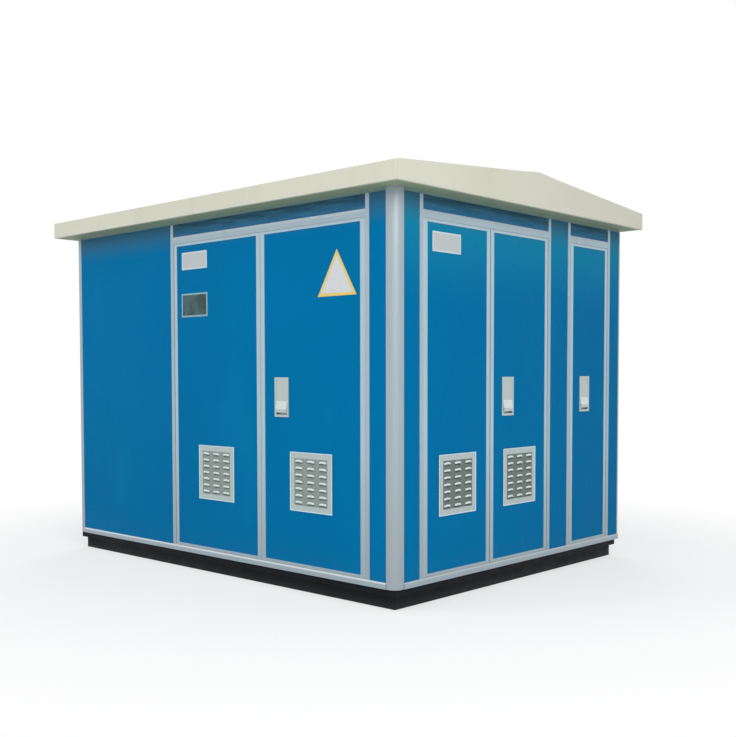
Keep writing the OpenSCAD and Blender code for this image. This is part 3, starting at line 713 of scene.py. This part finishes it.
def triangular_field():
    """The bare white field inside the yellow rim of the triangular plate."""
    low, high, bottom, _ = span("triangular_plate", "front")
    rim = 0.017
    corner = 0.005
    thickness = 0.0004
    steps = 8
    inner_radius = (high - low) / (2 * math.sqrt(3))
    reach = 2 * (inner_radius - rim - corner)
    outline = []
    for index in range(3):
        bearing = math.radians(90 + 120 * index)
        for step in range(steps + 1):
            turn = bearing + math.radians(-60 + 120 * step / steps)
            along = (low + high) / 2 + reach * math.cos(bearing) + corner * math.cos(turn)
            height = bottom + inner_radius + reach * math.sin(bearing) + corner * math.sin(turn)
            outline.append(on_wall("front", along, height, stand_out("triangular_plate", "front")))
    source = bmesh.new()
    add_prism(source, outline, FACES["front"][0] * thickness)
    field = enamel("white_field", (200, 202, 205), 4)
    finish_piece("triangular_field", source, field, "front_right_leaf")


def plate_fields():
    """The bare, slightly duller field inside the border of each name plate."""
    material = enamel("plate_field", (180, 186, 188), 4)
    border = 0.009
    step = 0.004
    sunk, raised = 0.0005, 0.0003
    for name, face, body in (("front_left_plate", "front", "front_left_leaf"),
                             ("end_left_plate", "right", "end_left_leaf")):
        low, high, bottom, top = span(name, face)
        source = bmesh.new()
        plate_out = stand_out(name, face)
        outs = (plate_out - sunk, plate_out + raised)
        corners = [(low + border, bottom + border), (high - border, bottom + border),
                   (high - border, top - border), (low + border, top - border)]
        outline = []
        for index, (along, height) in enumerate(corners):
            inward = (1 if index in (0, 3) else -1, 1 if index < 2 else -1)
            first, last = (along, height + step * inward[1]), (along + step * inward[0], height)
            pair = (first, last) if index % 2 == 0 else (last, first)
            outline += [on_wall(face, *spot, outs[1]) for spot in pair]
        add_prism(source, outline, FACES[face][0] * (outs[0] - outs[1]))
        finish_piece(name + "_field", source, material, body)


def door_gaskets():
    """A rubber bead on the stop lips of each doorway, on both sides and over the top."""
    material = rubber("black_rubber", (34, 35, 36))
    lip_out = -0.041
    bead = 0.0042
    offset = 0.0095
    steps = 8
    arc = [math.radians(180 * step / steps) for step in range(steps + 1)]
    openings = {item["name"]: item["box_m"] for item in frame["record"]["physics"]["openings"]}
    for name, (face, _, _) in DOORWAYS.items():
        run = FACES[face][1]
        corners = [Vector(corner) for corner in openings[name]]
        start, end = sorted(corner.dot(run) for corner in corners)
        foot, head = corners[0].z, corners[1].z
        source = bmesh.new()
        for along in (start - offset, end + offset):
            outline = [on_wall(face, along + bead * math.cos(a), foot, lip_out + bead * math.sin(a))
                       for a in arc]
            add_prism(source, outline, Vector((0, 0, head + offset - foot)))
        outline = [on_wall(face, start - offset, head + offset + bead * math.cos(a),
                           lip_out + bead * math.sin(a)) for a in arc]
        add_prism(source, outline, run * (end - start + 2 * offset))
        finish_piece(name + "_gasket", source, material, "housing")


def gap_seals():
    """Thin grey lips that close most of the gap round the leaves, just behind the wall face."""
    material = rubber("grey_rubber", (156, 168, 170))
    lip = 0.004
    outs = (-0.0018, -0.0006)
    foot, head = SILL_TOP, HEADER_UNDERSIDE
    for name, (face, first, last) in DOORWAYS.items():
        start, end = span(first, face)[0] - LEAF_GAP, span(last, face)[1] + LEAF_GAP
        source = bmesh.new()
        for heights in ((foot, foot + lip), (head - lip, head)):
            add_bar(source, face, (start, end), heights, outs)
        for along in ((start, start + lip), (end - lip, end)):
            add_bar(source, face, along, (foot + lip, head - lip), outs)
        finish_piece(name + "_seal", source, material, "housing")


def meeting_strips():
    """The strip on the first leaf of each double door that covers the gap to the second leaf."""
    clearance = 0.0015
    outs = (-0.006, -0.0012)
    # Painted shade: the end doors' strip is darker than the front one.
    for name, tone in (("front_doorway", (150, 164, 168)), ("end_doorway", (110, 122, 124))):
        face, first, last = DOORWAYS[name]
        near, far = span(first, face)[1], span(last, face)[0]
        heights = (SILL_TOP + LEAF_GAP, HEADER_UNDERSIDE - LEAF_GAP)
        source = bmesh.new()
        add_bar(source, face, (near, far - clearance), heights, outs)
        body = first.replace("edging", "leaf")
        finish_piece(name + "_strip", source, rubber(name + "_rubber", tone), body)


# Surroundings

def seen_rays(tree):
    """One for the rays by which the camera, metal and glass see a surface."""
    rays = tree.nodes.new("ShaderNodeLightPath")
    seen = rays.outputs["Is Camera Ray"]
    for kind in ("Is Glossy Ray", "Is Transmission Ray"):
        either = tree.nodes.new("ShaderNodeMath")
        either.operation = "MAXIMUM"
        tree.links.new(seen, either.inputs[0])
        tree.links.new(rays.outputs[kind], either.inputs[1])
        seen = either.outputs[0]
    return seen


def background():
    """Even sky for the light, and pure white where the camera, metal and glass see it."""
    world = bpy.data.worlds.new("backdrop")
    bpy.context.scene.world = world
    world.use_nodes = True
    tree = world.node_tree
    tree.nodes.clear()
    output = tree.nodes.new("ShaderNodeOutputWorld")
    blend = tree.nodes.new("ShaderNodeMixShader")
    sky = tree.nodes.new("ShaderNodeBackground")
    sky.inputs["Color"].default_value = (0.96, 0.98, 1.0, 1.0)
    sky.inputs["Strength"].default_value = 0.6
    white = tree.nodes.new("ShaderNodeBackground")
    white.inputs["Color"].default_value = (1.0, 1.0, 1.0, 1.0)
    tree.links.new(seen_rays(tree), blend.inputs[0])
    tree.links.new(sky.outputs[0], blend.inputs[1])
    tree.links.new(white.outputs[0], blend.inputs[2])
    tree.links.new(blend.outputs[0], output.inputs["Surface"])


def floor_finish():
    """Pale floor that fades into the white backdrop, also in metal and glass, and keeps a soft shadow."""
    finish = Finish("pale_floor", IOR=1.1, Roughness=0.9)
    finish.colour(finish.mix(finish.noise(0.5, detail=2), srgb(236, 236, 235), srgb(242, 242, 241)))
    glow = finish.add("ShaderNodeEmission", {"Color": (1, 1, 1, 1), "Strength": 1.0})
    distance = finish.add("ShaderNodeVectorMath", {0: finish.place}, operation="LENGTH").outputs["Value"]
    fade = finish.levels(distance, 2.0, 4.6, 0.55, 1.0)
    share = finish.math("MULTIPLY", fade, seen_rays(finish.tree))
    blend = finish.add("ShaderNodeMixShader", {0: share, 1: finish.shader.outputs[0], 2: glow.outputs[0]})
    finish.fill(finish.tree.nodes["Material Output"].inputs["Surface"], blend.outputs[0])
    return finish.material


def floor():
    """A wide round floor, a little below the base's underside."""
    radius, drop = 60, 0.001
    source = bmesh.new()
    bmesh.ops.create_circle(source, cap_ends=True, radius=radius, segments=64)
    mesh = bpy.data.meshes.new("studio_floor")
    source.to_mesh(mesh)
    source.free()
    mesh.materials.append(floor_finish())
    ground = bpy.data.objects.new("studio_floor", mesh)
    ground.location.z = -drop
    bpy.context.scene.collection.objects.link(ground)


def lamp(name, place, power, glossy):
    """A wide round lamp aimed at the middle of the housing."""
    data = bpy.data.lights.new(name, "AREA")
    data.shape = "DISK"
    data.size = LAMP_SIZE
    data.energy = power
    lamp_object = bpy.data.objects.new(name, data)
    bpy.context.scene.collection.objects.link(lamp_object)
    lamp_object.location = place
    lamp_object.visible_glossy = glossy
    lamp_object.rotation_euler = (LAMP_AIM - place).to_track_quat("-Z", "Y").to_euler()


def camera():
    """The photograph's viewpoint, from a fit to the housing's edges."""
    place = Vector((5.2962, -5.5111, 1.3352))
    yaw, pitch, roll = (math.radians(angle) for angle in (43.4628, -2.4737, -0.1309))
    data = bpy.data.cameras.new("camera")
    data.lens = 49.99
    data.sensor_width = 36.0
    data.sensor_fit = "HORIZONTAL"
    data.shift_x = 0.02708
    data.shift_y = 0.06592
    data.clip_start = 0.05
    data.clip_end = 200
    view = bpy.data.objects.new("camera", data)
    bpy.context.scene.collection.objects.link(view)
    ahead = Vector((-math.sin(yaw) * math.cos(pitch), math.cos(yaw) * math.cos(pitch), math.sin(pitch)))
    level = Vector((math.cos(yaw), math.sin(yaw), 0))
    upward = level.cross(ahead)
    right = level * math.cos(roll) + upward * math.sin(roll)
    up = upward * math.cos(roll) - level * math.sin(roll)
    turn = Matrix((right, up, -ahead)).transposed()
    view.matrix_world = Matrix.Translation(place) @ turn.to_4x4()
    bpy.context.scene.camera = view


dress_frame()
vent_parts()
plate_rivets()
triangular_field()
plate_fields()
door_gaskets()
gap_seals()
meeting_strips()
background()
floor()
for settings in LAMPS:
    lamp(*settings)
camera()
bpy.context.scene.view_settings.view_transform = "Standard"
